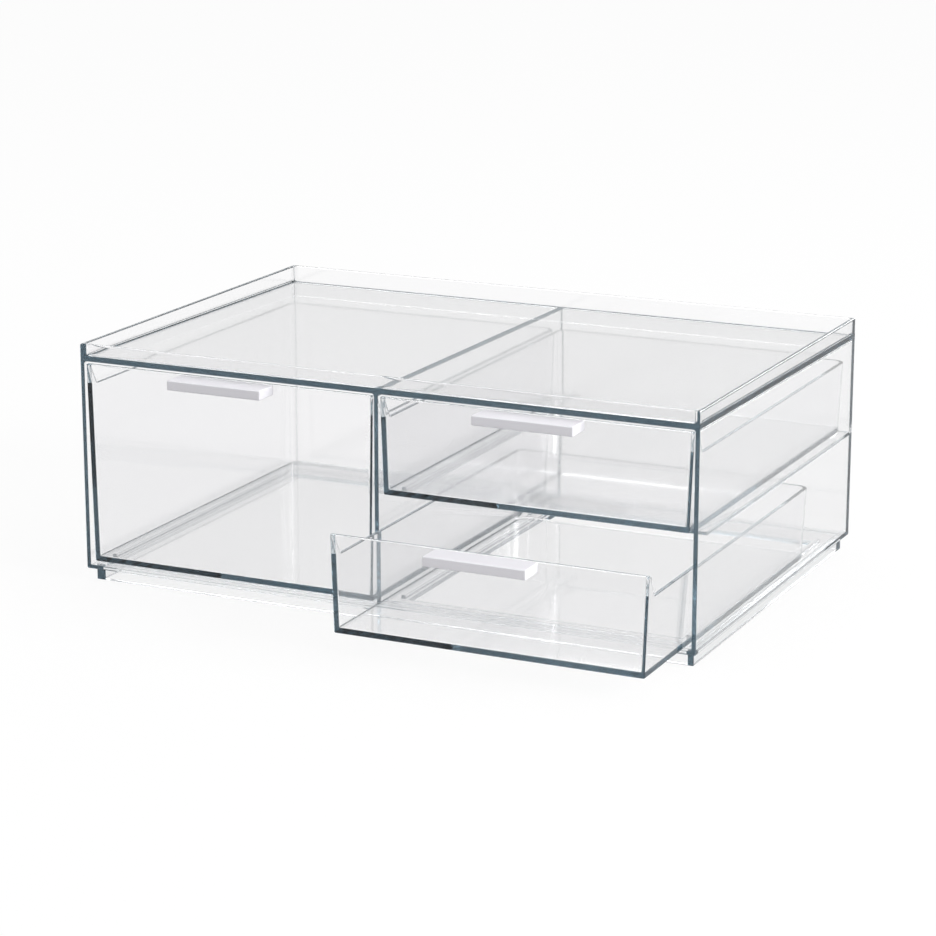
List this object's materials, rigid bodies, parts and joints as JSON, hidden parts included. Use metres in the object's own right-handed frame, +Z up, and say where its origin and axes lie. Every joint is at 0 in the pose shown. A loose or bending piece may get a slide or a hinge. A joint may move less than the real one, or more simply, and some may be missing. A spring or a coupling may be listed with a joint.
{
  "type": "pull-out cosmetic organizer",
  "caption": "Low wide clear plastic organizer case with a recessed top tray, a tall drawer beside stacked shallow drawers that slide out, and white bar handles.",
  "frame": {"origin": "on the standing surface, under the middle of the case's width and depth", "axes": "+X to the right seen from the front, +Y from the drawer fronts to the back, +Z up"},
  "size_m": [0.33, 0.2875, 0.1234],
  "materials": {
    "clear_case": "polished clear moulding with a faint blue-green edge",
    "clear_drawer": "polished clear moulding with a faint blue-green edge",
    "white_handle": "satin white moulding with a cool tint"
  },
  "bodies": {
    "case": {"left_side_panel": "clear_case", "right_side_panel": "clear_case", "back_panel": "clear_case", "top_panel": "clear_case", "front_lip": "clear_case", "divider_panel": "clear_case", "front_base_rail": "clear_case", "rear_base_rail": "clear_case", "left_base_rail": "clear_case", "right_base_rail": "clear_case", "centre_base_rail": "clear_case", "wall_ledge": "clear_case", "divider_ledge": "clear_case", "left_foot_rail": "clear_case", "right_foot_rail": "clear_case", "front_foot_rail": "clear_case", "rear_foot_rail": "clear_case"},
    "left_drawer": {"left_drawer_bin": "clear_drawer", "left_handle": "white_handle"},
    "upper_drawer": {"upper_drawer_bin": "clear_drawer", "upper_handle": "white_handle"},
    "lower_drawer": {"lower_drawer_bin": "clear_drawer", "lower_handle": "white_handle"}
  },
  "joints": [
    {"name": "left_drawer_slide", "type": "slide", "parent": "case", "child": "left_drawer", "axis": [0, -1, 0], "range_m": [0, 0.15]},
    {"name": "upper_drawer_slide", "type": "slide", "parent": "case", "child": "upper_drawer", "axis": [0, -1, 0], "range_m": [0, 0.15]},
    {"name": "lower_drawer_slide", "type": "slide", "parent": "case", "child": "lower_drawer", "axis": [0, -1, 0], "range_m": [-0.0523, 0.0977]}
  ]
}
